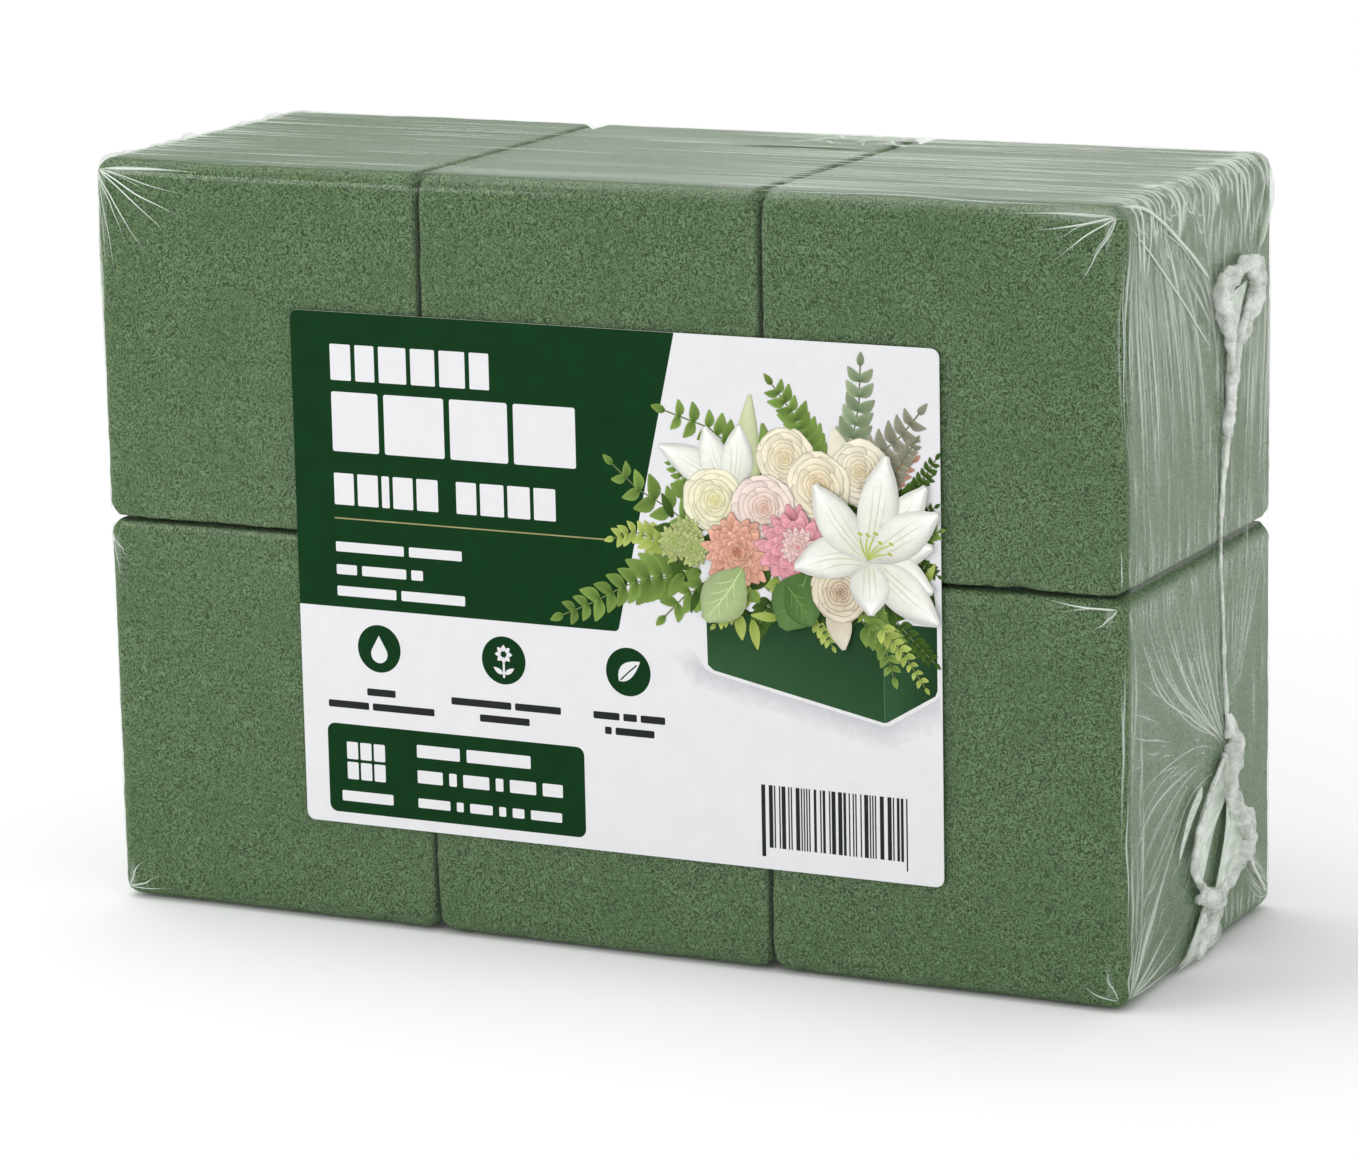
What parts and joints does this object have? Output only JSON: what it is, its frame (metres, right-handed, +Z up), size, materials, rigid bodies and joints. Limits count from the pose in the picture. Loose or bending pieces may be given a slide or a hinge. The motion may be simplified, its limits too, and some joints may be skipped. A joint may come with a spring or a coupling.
{
  "type": "floral foam brick pack",
  "caption": "Shrink-wrapped block of green floral foam bricks, stacked in two rows, with gathered film seals at the ends and a flat label on the front.",
  "frame": {"origin": "middle of the underside, on the surface that the pack stands on", "axes": "+X along the pack's width, to the right as seen from the front; -Y out of the labelled front; +Z up"},
  "size_m": [0.3024, 0.1086, 0.2],
  "materials": {
    "foam": "dry, fine-celled, crumbly open foam",
    "film": "clear thin shrink film, wrinkled at the ends",
    "melted_film": "milky, gathered and melted film",
    "label": "smooth satin coated paper, printed"
  },
  "bodies": {
    "root": {"brick_upper_left": "foam", "brick_upper_middle": "foam", "brick_upper_right": "foam", "brick_lower_left": "foam", "brick_lower_middle": "foam", "brick_lower_right": "foam", "shrink_film": "film", "end_seal_right": "melted_film", "end_seal_left": "melted_film", "back_lap_seal": "melted_film", "front_label": "label"}
  },
  "joints": []
}
